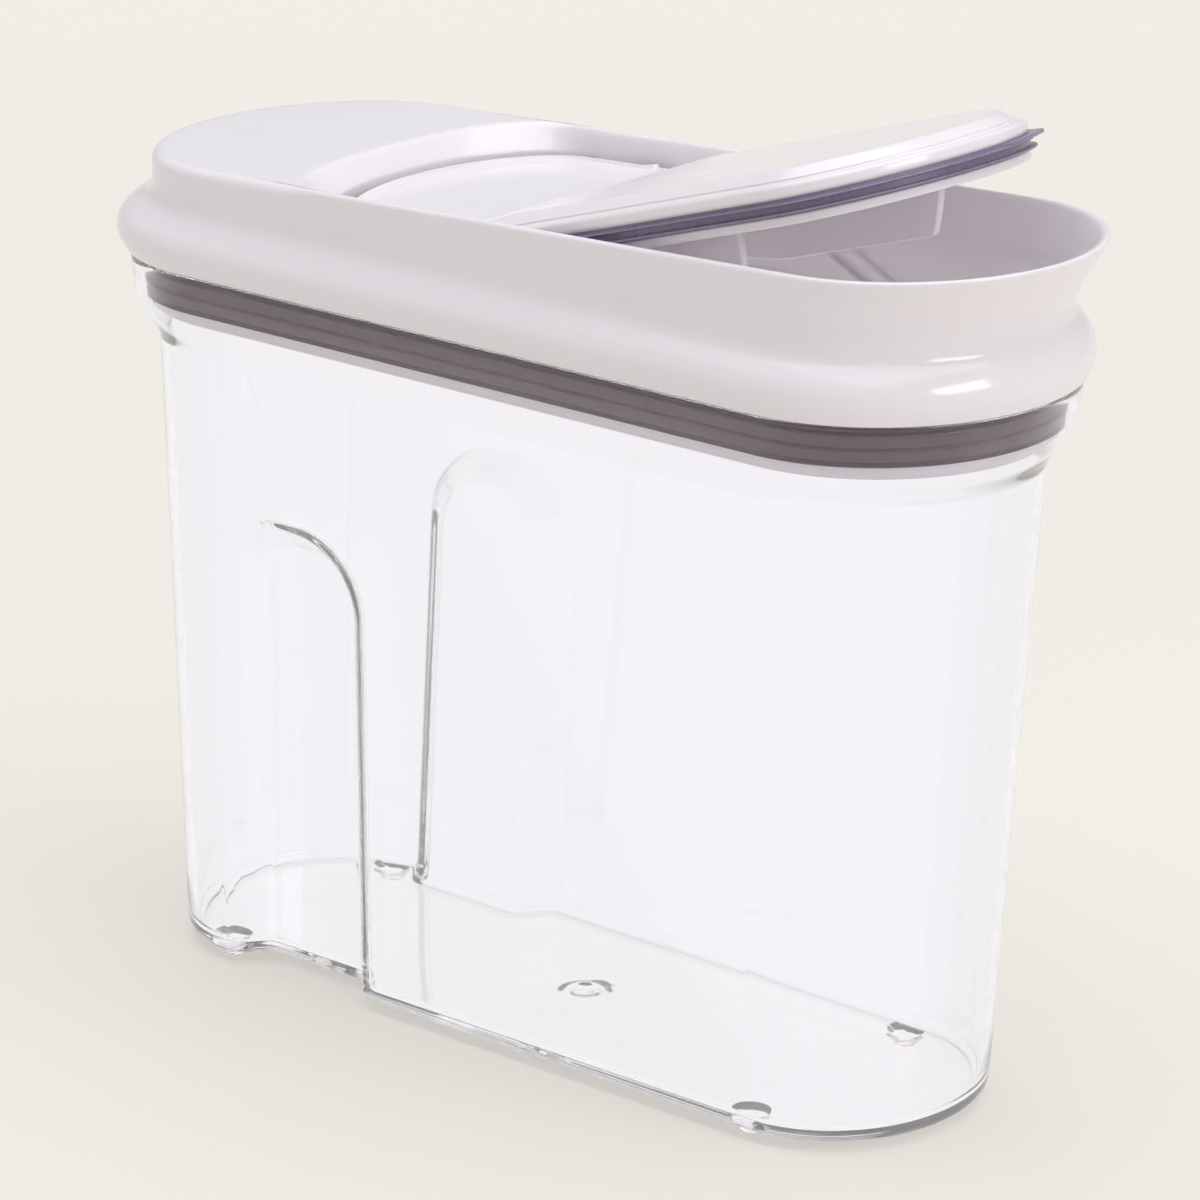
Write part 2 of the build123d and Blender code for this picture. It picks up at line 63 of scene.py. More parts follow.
# The lid's bulged skirt, measured at each level up to the waist, and the flared wall above it
SEAM, WAIST = 200.0, 217.5
SKIRT_LEVELS = (SEAM, 202.2, 204.7, 209.0, 212.0, 214.5, WAIST)
SKIRT_FRONT = (143.2, 144.0, 144.5, 143.5, 141.7, 139.4, 138.5)
SKIRT_REAR = (143.2, 144.8, 145.6, 144.4, 141.0, 137.2, 135.2)
SKIRT_HALF = (57.0, 57.8, 58.1, 57.0, 54.6, 52.6, 51.8)
SKIRT_DEPTH = (49.0, 49.6, 49.9, 48.6, 46.6, 45.2, 44.6)
FLARE_START, FRONT_FLARE, SIDE_FLARE, DEPTH_FLARE = 4.0, 0.5856, 0.04, 0.08
RIM_MID, RIM_SLOPE, EDGE_ROUND = 231.3, 0.04, 1.3

# The lid's hollow: foot of its sloping wall, ledge, seat of the flap, notch for the tab, and the well behind
SILL, LEDGE = 222.5, 218.6
SEAT_TIP, SEAT_HALF, SEAT_DEPTH, SEAT_CORNER = 131.0, 49.2, 35.5, 9.0
SEAT_REAR, SEAT_REAR_DEPTH = 132.6, 42.3
NOTCH_X, NOTCH_Y, NOTCH_RADIUS, NOTCH_EDGE, NOTCH_DEPTH = 121.0, 33.0, 15.0, 7.0, 2.6
WELL_START, WELL_CENTRE, WELL_POWER = -15.0, -38.0, 2.15
PARTITION = 12.0
WELL_FLOOR = 204.3

# Rows of the seat: share of the way from wall to seat, level, and 1 where the notch for the tab is cut
SEAT_ROWS = (
    (0.25, 218.35, 1), (0.6, 217.9, 1), (0.9, 217.5, 1), (1.0, 217.0, 1), (1.0, 215.1, 1), (1.0, 214.9, 0),
    (1.0, 213.0, 0), (1.0, 209.0, 0), (1.0, 206.0, 0), (1.0, 203.0, 0), (1.0, SEAM, 0),
)

# The flap: hinge line, raised panel, ramp down to the crease, pad, and the levels of its seal
PIVOT_X, PIVOT_Z, OPEN_ANGLE = -15.6, 213.0, math.radians(17.5)
PANEL_TOP, PANEL_STEP, PANEL_ROUND = 223.9, 2.8, 1.2
CREASE, RAMP_LENGTH, RAMP_DEPTH, RAMP_BEND, PAD_SLOPE = -2.0, 13.0, 2.2, 0.35, 0.2586
BLADE_FOOT, BLADE_TOP = 212.9, 217.1


def ease(t):
    """Smooth step from 0 to 1: 3 t squared minus 2 t cubed, held at its ends."""
    t = np.clip(t, 0.0, 1.0)
    return t * t * (3.0 - 2.0 * t)


def blend(a, b, share):
    """From a at share 0 to b at share 1."""
    return a * (1 - share) + b * share


def bend(a, corner, b, t):
    """Point at t, from 0 to 1, on the curve from a to b that a corner between them is rounded to."""
    return a * (1 - t) ** 2 + corner * 2 * t * (1 - t) + b * t * t


def greater(a, b, r):
    """The greater of two numbers, rounded where they are within r of each other."""
    return np.maximum(a, b) + np.maximum(r - np.abs(a - b), 0.0) ** 2 / (4 * r)


def unit(vectors):
    """Each row of a table of vectors, at length 1."""
    return vectors / np.linalg.norm(vectors, axis=1)[:, None]


def through(z, levels, values):
    """Smooth curve through measured points: cubic Hermite pieces with mean slopes at the points."""
    levels, values = np.asarray(levels, float), np.asarray(values, float)
    slopes = np.gradient(values, levels)
    i = np.clip(np.searchsorted(levels, z, side="right") - 1, 0, len(levels) - 2)
    h = levels[i + 1] - levels[i]
    t = np.clip((z - levels[i]) / h, 0.0, 1.0)
    first = (1 + 2 * t) * (1 - t) ** 2
    lean = slopes[i] * (1 - t) - slopes[i + 1] * t
    return values[i] * first + values[i + 1] * ease(t) + h * t * (1 - t) * lean


def graded(points):
    """Numbers from the first (place, step) pair to the last, with the step of each pair up to the next."""
    runs = []
    for (a, step), (b, _) in zip(points[:-1], points[1:]):
        count = max(int(round(abs(b - a) / step)), 1)
        runs.append(np.linspace(a, b, count, endpoint=False))
    runs.append(np.array([points[-1][0]]))
    return np.concatenate(runs)


def between(start, end, count):
    """Evenly spaced numbers between two others, without those two."""
    return np.linspace(start, end, count + 2)[1:-1]


def share_along(x, y):
    """Share of a line's length, from 0 to 1, up to each of its points."""
    run = np.concatenate([[0], np.cumsum(np.hypot(np.diff(x), np.diff(y)))])
    return run / run[-1]


def shares(start, length, points):
    """Places along a straight side as shares of its length, counted back from its front end."""
    return (start - graded(points)[:-1]) / length


def row_at(x, y, z):
    """One row of points: x and y of each column, with one level for all or a level for each."""
    return np.column_stack([x, y, np.broadcast_to(z, np.shape(x))])


def arc(cx, cy, r, start, end, count):
    """Points on a circle from one angle in degrees to another, as a list."""
    a = np.radians(np.linspace(start, end, count))
    return list(zip(cx + r * np.cos(a), cy + r * np.sin(a)))


class Stadium:
    """Columns round an outline with two straight sides and elliptical ends, from the front tip by the far
    side to the rear tip and back. A crowd above 1 draws the columns together where ends and sides meet."""

    def __init__(self, quarter, stations, crowd=1.0):
        a = 0.5 * math.pi * (1 - (1 - np.linspace(0.0, 1.0, quarter)) ** crowd)
        b = (0.5 * math.pi - a)[::-1]
        t = np.asarray(stations, float)
        one, none, straight = np.ones(quarter), np.zeros(quarter), np.zeros(len(t))

        def both_sides(runs, sign=1):
            far = np.concatenate(runs)
            return np.concatenate([far, sign * far[-2:0:-1]])

        self.front = both_sides([one, 1 - t, none])
        self.rear = both_sides([none, t, one])
        self.front_cos = both_sides([np.cos(a), straight, none])
        self.rear_cos = both_sides([none, straight, -np.sin(b)])
        self.side = both_sides([np.sin(a), straight + 1, np.cos(b)], sign=-1)
        self.half_count = 2 * quarter + len(t)
        self.count = len(self.side)

    def outline(self, front, rear, half, front_depth, rear_depth):
        """x and y of the columns, for one outline or a table of them: the ends' centres plus ellipse cosines
        along, and the half width times the sine across."""
        x = (self.front * (front - front_depth) - self.rear * (rear - rear_depth)
             + self.front_cos * front_depth + self.rear_cos * rear_depth)
        return x, self.side * half


def faces_of(rows, columns, around=True, closed_rows=False):
    """Quads of a grid of rows by columns."""
    i = np.arange(rows if closed_rows else rows - 1)
    j = np.arange(columns if around else columns - 1)
    i, j = np.meshgrid(i, j, indexing="ij")
    i2, j2 = (i + 1) % rows, (j + 1) % columns
    quads = np.stack([i * columns + j, i * columns + j2, i2 * columns + j2, i2 * columns + j], axis=-1)
    return quads.reshape(-1, 4)


def across(stadium, loop, fractions):
    """Sheet that fills a loop: a row of points straight across from each far column to its mirror column."""
    far = loop[:stadium.half_count]
    near = loop[(-np.arange(stadium.half_count)) % stadium.count]
    return blend(far[:, None, :], near[:, None, :], np.asarray(fractions, float)[None, :, None])


def placed(name, data):
    """New object in the scene with this mesh, lamp or camera."""
    obj = bpy.data.objects.new(name, data)
    bpy.context.scene.collection.objects.link(obj)
    return obj


def finished(name, mesh, sharp, merge=False):
    """The mesh as an object: points merged where asked, faces turned outward, edges sharp above an angle."""
    bm = bmesh.new()
    bm.from_mesh(mesh)
    if merge:
        bmesh.ops.remove_doubles(bm, verts=bm.verts, dist=1e-6)
        bmesh.ops.dissolve_degenerate(bm, edges=bm.edges, dist=1e-7)
    bmesh.ops.recalc_face_normals(bm, faces=bm.faces)
    bm.to_mesh(mesh)
    bm.free()
    mesh.shade_smooth()
    mesh.set_sharp_from_angle(angle=math.radians(sharp))
    return placed(name, mesh)


def mesh_object(name, parts, sharp):
    """One object from a list of (points, quads), merged where points meet."""
    points, quads, first = [], [], 0
    for grid, faces in parts:
        flat = np.asarray(grid, float).reshape(-1, 3)
        points.append(flat)
        quads.append(np.asarray(faces) + first)
        first += len(flat)
    points, quads = np.concatenate(points) * MM, np.concatenate(quads)
    mesh = bpy.data.meshes.new(name)
    mesh.vertices.add(len(points))
    mesh.vertices.foreach_set("co", points.astype(np.float32).ravel())
    mesh.loops.add(quads.size)
    mesh.loops.foreach_set("vertex_index", quads.astype(np.int32).ravel())
    mesh.polygons.add(len(quads))
    mesh.polygons.foreach_set("loop_start", np.arange(0, quads.size, 4, dtype=np.int32))
    mesh.update(calc_edges=True)
    return finished(name, mesh, sharp, merge=True)


def shell(name, columns, rows, sheets, sharp):
    """Closed shell: rows of points round the columns, and the sheets that fill its two ends."""
    parts = [(rows, faces_of(len(rows), columns.count))]
    parts += [(sheet, faces_of(*sheet.shape[:2], around=False)) for sheet in sheets]
    return mesh_object(name, parts, sharp)


def ring(name, outline_at, profile):
    """A closed section of (inset, level) points carried round an outline that is drawn for each inset."""
    grid = np.stack([row_at(*outline_at(inset).T, z) for inset, z in profile])
    return mesh_object(name, [(grid, faces_of(*grid.shape[:2], closed_rows=True))], sharp=40)


def prism(name, outline, axis, low, high, edge):
    """Plate: a flat outline run along one axis between two levels, with bevelled edges of a given width."""
    outline = np.asarray(outline, float)
    n = len(outline)
    first, second, run = {"x": (1, 2, 0), "y": (0, 2, 1), "z": (0, 1, 2)}[axis]
    points = np.zeros((2, n, 3))
    points[..., first], points[..., second] = outline[:, 0], outline[:, 1]
    points[0, :, run], points[1, :, run] = low, high
    faces = [list(range(n)), list(range(2 * n - 1, n - 1, -1))]
    faces += [[i, (i + 1) % n, n + (i + 1) % n, n + i] for i in range(n)]
    mesh = bpy.data.meshes.new(name)
    mesh.from_pydata((points.reshape(-1, 3) * MM).tolist(), [], faces)
    obj = finished(name, mesh, sharp=35)
    if edge:
        bevel = obj.modifiers.new("edges", "BEVEL")
        bevel.width = edge * MM
        bevel.segments = 3
        bevel.limit_method = "ANGLE"
        bevel.angle_limit = math.radians(35)
    return obj


def side_prism(name, outline, side, near, far, edge):
    """Plate that stands between two distances from the middle plane, on the side that the sign gives."""
    low, high = sorted((near * side, far * side))
    return prism(name, outline, "y", low, high, edge)


def joined(name, objects):
    """Several mesh objects as one, with their bevels applied."""
    bpy.context.view_layer.update()
    depsgraph = bpy.context.evaluated_depsgraph_get()
    bm = bmesh.new()
    for obj in objects:
        flat = bpy.data.meshes.new_from_object(obj.evaluated_get(depsgraph))
        bm.from_mesh(flat)
        bpy.data.meshes.remove(flat)
    mesh = bpy.data.meshes.new(name)
    bm.to_mesh(mesh)
    bm.free()
    for obj in objects:
        bpy.data.objects.remove(obj)
    return placed(name, mesh)


def swung(obj):
    """Turn a flap piece from closed to open: each point goes round the hinge line by the open angle."""
    mesh = obj.data
    co = np.empty(len(mesh.vertices) * 3, np.float32)
    mesh.vertices.foreach_get("co", co)
    co = co.reshape(-1, 3)
    x = co[:, 0] - PIVOT_X * MM
    z = co[:, 2] - PIVOT_Z * MM
    c, s = math.cos(OPEN_ANGLE), math.sin(OPEN_ANGLE)
    co[:, 0] = PIVOT_X * MM + x * c - z * s
    co[:, 2] = PIVOT_Z * MM + x * s + z * c
    mesh.vertices.foreach_set("co", co.ravel())
    mesh.update()
    return obj


# The clear tub
def tub_reach(z):
    """Half length and half width of the tub's outside: straight draft, eased shoulder, flared collar."""
    draft = (z - WALL_FOOT) / (SHOULDER - WALL_FOOT)
    shoulder = ease((z - SHOULDER) / SHOULDER_HEIGHT)
    flare = np.clip((z - COLLAR_FOOT) / COLLAR_HEIGHT, 0, 1)
    return [
        np.where(z > SHOULDER, top + step * shoulder + COLLAR_FLARE * flare, foot + (top - foot) * draft)
        for foot, top, step in (TUB_LENGTH, TUB_HALF)
    ]


def grip_depth(x, z, wall, grow):
    """How far the grips go in from a wall of this half width, from an arch drawn on the outside down to the
    grip's own drafted floor. The sides lean by the grip's slope, and both corners are rounded, more so behind
    the middle. Grow is how far the surface lies inside the outer one."""
    u = np.abs(x - GRIP_MIDDLE) - (GRIP_HALF - GRIP_CORNER)
    v = z - (GRIP_TOP - GRIP_CORNER)
    inside = GRIP_CORNER - np.hypot(np.maximum(u, 0), np.maximum(v, 0)) - np.minimum(np.maximum(u, v), 0)
    inside = inside + grow * (math.hypot(1.0, GRIP_SLOPE) - GRIP_SLOPE)
    full = wall - (GRIP_FLOOR - grow + (z - FOOT_HEIGHT) * math.tan(GRIP_DRAFT))
    behind = ease((GRIP_MIDDLE - x + 8.0) / 16.0)
    edge_round = 0.9 + 0.7 * behind + 0.2 * grow
    foot_round = 1.5 + 1.4 * behind - 0.2 * grow
    lean = greater(inside / GRIP_SLOPE, 0.0, edge_round)
    return np.where(full > GRIP_LEAST, -greater(-lean, -full, foot_round), 0.0)


def tub_profile():
    """Section of the tub's wall as (level, inset) rows: round the foot and up the outside, over the rim and
    down the inside. Also the number of rows that belong to the outside."""
    turn = np.radians(np.linspace(0, 90, 7))
    foot = np.column_stack([WALL_FOOT - FOOT_ROUND * np.cos(turn), FOOT_ROUND * (1 - np.sin(turn))])[:-1]
    levels = graded([(WALL_FOOT, 13.0), (111.0, 1.0), (121.0, 0.5), (136.0, 8.0), (173.0, 1.0), (189.0, 2.6),
                     (RIM_START, 1.0)])
    outside = np.column_stack([levels, np.zeros(len(levels))])
    over = np.radians(between(0, 180, 7))
    rim = np.column_stack([RIM_START + RIM_ROUND * np.sin(over), RIM_ROUND - RIM_ROUND * np.cos(over)])
    middle = len(rim) // 2
    rim[middle + 1:, 1] += WALL - 2 * RIM_ROUND
    rim[middle, 1] = WALL / 2
    inner = levels[levels > INNER_FOOT][::-1]
    inside = np.column_stack([inner, np.full(len(inner), WALL)])
    bottom = np.column_stack([INNER_FOOT - FOOT_ROUND * np.sin(turn), WALL + FOOT_ROUND * (1 - np.cos(turn))])
    return np.concatenate([foot, outside, rim, inside, bottom]), len(foot) + len(outside) + middle + 1


def press_floor(sheet, foot, hill, hollow):
    """Press the four feet down into a floor sheet and raise the gate's mark, a hill with a hollow in it.
    Each is given as height, radius and width of its edge."""
    for x, y in FEET:
        away = np.hypot(sheet[..., 0] - x, sheet[..., 1] - y)
        sheet[..., 2] -= foot[0] * (1 - ease((away - foot[1]) / foot[2]))
    away = np.hypot(sheet[..., 0] - GATE_X, sheet[..., 1])
    rise, fall = [size * ease((radius - away) / edge) for size, radius, edge in (hill, hollow)]
    sheet[..., 2] += rise - fall


def build_tub():
    """Closed shell: the wall's rows, with both floors filled across."""
    places = [(88.7, 0.9), (80.0, 4.0), (13.0, 1.0), (-5.0, 4.0), (-36.0, 0.5), (-43.5, 0.8), (-47.0, 0.6),
              (-53.5, 1.2), (-75.5, 0.6), (-82.5, 0.8), (-86.0, 0.5), (-89.2, 0.5)]
    columns = Stadium(38, shares(HALF_STRAIGHT, 2 * HALF_STRAIGHT, places), crowd=1.5)
    profile, outer_rows = tub_profile()
    z, inset = profile[:, 0], profile[:, 1]
    grow = np.where(np.arange(len(z)) < outer_rows, 0.0, WALL)
    length, half = tub_reach(np.maximum(z, WALL_FOOT))
    reach, width, depth = [(size - inset)[:, None] for size in (length, half, END_RATIO * half)]
    x, y = columns.outline(reach, reach, width, depth, depth)
    level = np.broadcast_to(z[:, None], x.shape)
    wall = np.abs(y) + (inset - grow)[:, None]
    y = y - np.sign(y) * grip_depth(x, level, wall, grow[:, None])
    grid = np.stack([x, y, level], axis=-1)
    edge = graded([(0.0, 0.0075), (0.135, 0.04), (0.41, 0.0125), (0.5, 0.0125)])
    fractions = np.concatenate([edge[:-1], 1 - edge[::-1]])
    under = across(columns, grid[0], fractions)
    press_floor(under, foot=(FOOT_HEIGHT, 3.1, 1.7), hill=(0.7, 7.6, 1.8), hollow=(0.5, 3.2, 1.6))
    top = across(columns, grid[-1], fractions)
    press_floor(top, foot=(1.8, 3.2, 2.2), hill=(0.9, 5.4, 2.2), hollow=(0.6, 2.6, 1.6))
    return shell("clear_tub", columns, grid, (under, top), sharp=50)


# The white lid frame
def upper_outline(columns, z, inset=0.0):
    """Outline above the waist, where each column may have its own level: upright at the rear, and flaring
    forward with a soft start."""
    d = z - WAIST
    ramp = np.where(d < FLARE_START, np.maximum(d, 0) ** 2 / (2 * FLARE_START), d - FLARE_START / 2)
    front = SKIRT_FRONT[-1] + FRONT_FLARE * ramp
    half = SKIRT_HALF[-1] + SIDE_FLARE * d
    depth = SKIRT_DEPTH[-1] + DEPTH_FLARE * d
    return columns.outline(front - inset, SKIRT_REAR[-1] - inset, half - inset, depth - inset,
                           SKIRT_DEPTH[-1] - inset)


def rim_level(x):
    """Level of the rim's sloping plane."""
    return RIM_MID + RIM_SLOPE * x


def to_rim(columns, inset):
    """x, y and level of the columns where the outline, taken in by inset, meets the rim's plane."""
    z = np.full(columns.count, RIM_MID)
    for _ in range(4):
        x, y = upper_outline(columns, z, inset)
        z = rim_level(x)
    return x, y, z


def rear_loop(share, start, centre, half, reach, power):
    """x and y at shares of the line along the far wall from start back to centre, round a squared-off half
    ellipse of this reach, and forward along the near wall."""
    angle = math.pi * np.linspace(0.0, 1.0, 801)
    s, c = np.sin(angle), np.cos(angle)
    x = centre - reach * np.abs(s) ** (2 / power)
    y = half * np.sign(c) * np.abs(c) ** (2 / power)
    x = np.concatenate([[start], x, [start]])
    y = np.concatenate([[half], y, [-half]])
    along = share_along(x, y)
    return np.interp(share, along, x), np.interp(share, along, y)


def frame_outside(columns):
    """Rows up the outside: skirt, waist, flared wall, and the round of the top edge, wider on the deck."""
    rows = []
    for z in graded([(SEAM, 0.5), (204.7, 0.6), (WAIST, 1.0)]):
        front, rear, half, depth = [through(z, SKIRT_LEVELS, sizes)
                                    for sizes in (SKIRT_FRONT, SKIRT_REAR, SKIRT_HALF, SKIRT_DEPTH)]
        rows.append(row_at(*columns.outline(front, rear, half, depth, depth), z))
    x_top, _, z_top = to_rim(columns, 0.0)
    edge = EDGE_ROUND + 1.5 * ease((-48.0 - x_top) / 16.0)
    for f in np.linspace(0, 1, 12)[1:]:
        z = WAIST + f * (z_top - edge - WAIST)
        rows.append(row_at(*upper_outline(columns, z), z))
    for a in np.radians(np.linspace(0, 90, 7)[1:]):
        z = z_top - edge * (1 - math.sin(a))
        rows.append(row_at(*upper_outline(columns, z, edge * (1 - math.cos(a))), z))
    return rows


def hollow_lines(columns, top):
    """The edge of the hollow's rim and the foot of its sloping wall, both led round the well at the rear."""
    edge_x, edge_y, _ = to_rim(columns, EDGE_ROUND)
    wall_x, wall_y = upper_outline(columns, np.full(columns.count, SILL), WALL)
    first = np.where((columns.side > 0.5) & (top[:, 0] < WELL_START))[0].min()
    span = np.arange(first, columns.count - first + 1)
    share = share_along(top[span, 0], top[span, 1])
    edge_x[span], edge_y[span] = rear_loop(share, edge_x[first], -47.0, edge_y[first], 24.5, 2.6)
    wall_x[span], wall_y[span] = rear_loop(share, wall_x[first], WELL_CENTRE, wall_y[first], 28.0, WELL_POWER)
    return row_at(edge_x, edge_y, rim_level(edge_x)), row_at(wall_x, wall_y, SILL)


def frame_inside(columns, top):
    """Rows over the rim or deck, down the hollow's wall, over the ledge and down the seat."""
    edge, foot = hollow_lines(columns, top)
    rows = []
    for f in (0.04, 0.5, 0.96):
        x, y = (top[:, :2] + (edge[:, :2] - top[:, :2]) * f).T
        rows.append(row_at(x, y, rim_level(x)))
    corner = edge.copy()
    corner[:, :2] += EDGE_ROUND * unit(foot[:, :2] - edge[:, :2])
    fall = unit(foot - corner)
    after = corner + fall * 1.8
    turn_in = foot - fall * 0.5
    down = foot - np.array([0.0, 0.0, 0.6])
    rows += [bend(edge, corner, after, t) for t in np.linspace(0, 1, 8)]
    rows += [after + (turn_in - after) * t for t in (0.25, 0.5, 0.75, 1.0)]
    rows += [bend(turn_in, foot, down, t) for t in (0.33, 0.67, 1.0)]

    wall_x, wall_y = foot[:, 0], foot[:, 1]
    in_well = ease((-34.0 - wall_x) / 8.0)
    for f in np.linspace(0, 1, 4)[1:]:
        z = down[:, 2] + f * (LEDGE - down[:, 2])
        x, y = upper_outline(columns, z, WALL)
        rows.append(row_at(blend(x, wall_x, in_well), blend(y, wall_y, in_well), z))
    seat = np.column_stack(columns.outline(SEAT_TIP, SEAT_REAR, SEAT_HALF, SEAT_DEPTH, SEAT_REAR_DEPTH))
    x, y = seat.T
    out = unit(np.column_stack([(x - SEAT_TIP + SEAT_DEPTH) / SEAT_DEPTH ** 2, y / SEAT_HALF ** 2]))
    notch = NOTCH_DEPTH * ease((NOTCH_RADIUS - np.hypot(x - NOTCH_X, y - NOTCH_Y)) / NOTCH_EDGE)[:, None]
    wall = rows[-1][:, :2]
    for f, z, cut in SEAT_ROWS:
        x, y = (wall + (seat + cut * notch * out - wall) * f).T
        x = blend(x, wall_x + 0.05 * (LEDGE - z), in_well)
        y = blend(y, wall_y * (1 - 0.0006 * (LEDGE - z)), in_well)
        rows.append(row_at(x, y, z))
    return rows


def guide_ridge(side, middle, thick):
    """Leaning ridge on the inside of the spout, its middle line given by its place at level 205."""
    lean = math.radians(26.5)
    low, high = [np.array([middle + (205.0 - z) / math.tan(lean), z]) for z in (211.6, 201.2)]
    off = np.array([math.sin(lean), math.cos(lean)]) * thick / 2
    return side_prism("guide_ridge", [low - off, high - off, high + off, low + off], side, 47.2, 49.7, 0.35)


def build_lid_frame():
    """The skin of the lid, and inside it the well's floor, the partition, the seat's corners, the hinge
    bosses and the guide ridges."""
    places = [(93.0, 6.0), (20.0, 4.0), (-40.0, 1.6), (-64.0, 1.2), (-92.0, 2.0)]
    columns = Stadium(40, shares(94.0, 187.0, places))
    rows = frame_outside(columns)
    rows += frame_inside(columns, rows[-1])
    faces = faces_of(len(rows), columns.count, closed_rows=True)
    pieces = [mesh_object("frame_skin", [(np.stack(rows), faces)], sharp=48)]

    half = SEAT_HALF + 0.4
    rear = list(zip(*rear_loop(np.linspace(0.0, 1.0, 41), -30.0, WELL_CENTRE, half, 28.3, WELL_POWER)))
    floor = rear + [(PARTITION - 0.4, -half), (PARTITION - 0.4, half)]
    pieces.append(prism("well_floor", floor, "z", 204.2, 206.4, 0))
    wall = [(-half, WELL_FLOOR), (half, WELL_FLOOR), (half, 216.5), (-half, 216.5)]
    pieces.append(prism("partition", wall, "x", 9.5, PARTITION, 0.9))
    inner = SEAT_HALF - SEAT_CORNER
    corner = [(PARTITION - 0.6, half), (PARTITION + SEAT_CORNER, half)]
    corner += arc(PARTITION + SEAT_CORNER, inner, SEAT_CORNER, 90, 180, 14) + [(PARTITION - 0.6, inner)]
    boss = [(PIVOT_X - 6, 205.8), (PIVOT_X + 6, 205.8)] + arc(PIVOT_X, PIVOT_Z, 6.0, 0, 180, 25)
    for side in (-1, 1):
        pieces.append(prism("seat_corner", [(x, y * side) for x, y in corner], "z", WELL_FLOOR, 216.4, 0))
        pieces.append(side_prism("hinge_boss", boss, side, 46.1, 49.7, 0.5))
        pieces += [guide_ridge(side, middle, thick) for middle, thick in ((49.7, 1.1), (60.7, 2.3))]
    return joined("lid_shell", pieces)


# The seal and the plug ring under the lid
def finned(root, inner, low, levels, tips):
    """Lower part of a seal's section: up the outer side of a band, with a rounded fin at each level."""
    points = [(inner, low), (root, low)]
    for z, tip in zip(levels, tips):
        points += [(root, z - 0.5), (root - 0.25, z - 0.38), (tip + 0.25, z - 0.3), (tip, z - 0.05),
                   (tip + 0.2, z + 0.22), (root - 0.3, z + 0.36), (root, z + 0.6)]
    return points


def build_plug_parts():
    """The finned seal inside the collar, and the white ring behind it with its lip round the seat."""
    columns = Stadium(40, between(0, 1, 24))
    root, inner = 4.4, 5.6

    def collar(inset):
        reach, half = COLLAR_LENGTH - inset, COLLAR_HALF - inset
        return np.column_stack(columns.outline(reach, reach, half, END_RATIO * half, END_RATIO * half))

    def seat(inset):
        sizes = [size - inset for size in (SEAT_TIP, SEAT_REAR, SEAT_HALF, SEAT_DEPTH, SEAT_REAR_DEPTH)]
        return np.column_stack(columns.outline(*sizes))

    levels = (189.0, 192.7, 196.5)
    tips = [2.9 + (COLLAR_TOP - z) * 0.123 for z in levels]
    flange = [(root, 199.3), (2.4, COLLAR_TOP), (0.0, COLLAR_TOP), (-0.35, 199.5), (-0.4, 199.7),
              (-0.35, 199.95), (0.0, SEAM), (inner, SEAM)]
    seal = ring("collar_seal", collar, finned(root, inner, 188.3, levels, tips) + flange)
    skirt = [(inner, 185.6), (5.9, 185.1), (6.4, 185.0), (7.3, 185.0), (7.7, 185.2), (7.8, 185.6),
             (7.8, 197.6), (8.4, 198.0), (9.6, 198.0), (9.6, SEAM), (inner, SEAM)]
    lip = [(0.1, 198.4), (0.1, 200.7), (0.3, 201.0), (1.5, 201.0), (1.7, 200.7), (1.7, 198.4)]
    return seal, joined("plug_ring", [ring("plug_skirt", collar, skirt), ring("plug_lip", seat, lip)])


# The flap
def flap_top(x):
    """Level of the flap's top: the flat raised panel, a ramp down from its rear edge to a crease, and the
    pad, rising to the rear."""
    ramp = 1 - np.clip((x - CREASE) / RAMP_LENGTH, 0, 1)
    ramp = ramp * (1 - RAMP_BEND * (1 - ramp))
    return PANEL_TOP - RAMP_DEPTH * ramp + PAD_SLOPE * np.maximum(CREASE - x, 0)


def flap_step(x):
    """Height of the raised panel above its border, fading out beside the ramp."""
    return PANEL_STEP * ease((x - 3.0) / 9.0)


def blade_outline(inset):
    """Outline of the flap's seal, taken in from the seat: elliptical tip, straight sides, round corners."""
    tip, half, depth = SEAT_TIP - inset, SEAT_HALF - inset, SEAT_DEPTH - inset
    centre = tip - depth
    a = np.radians(np.linspace(-90, 90, 73))
    nose = np.column_stack([centre + depth * np.cos(a), half * np.sin(a)])
    rear = PARTITION + inset
    r = max(SEAT_CORNER - inset, 0.8)
    far = np.column_stack([between(centre, rear + r, 20), np.full(20, half)])
    back = np.column_stack([np.full(14, rear), between(half - r, r - half, 14)])
    near = np.column_stack([between(rear + r, centre, 20), np.full(20, -half)])
    corners = arc(rear + r, half - r, r, 90, 180, 12), arc(rear + r, r - half, r, 180, 270, 12)
    return np.concatenate([nose, far, corners[0], back, corners[1], near])


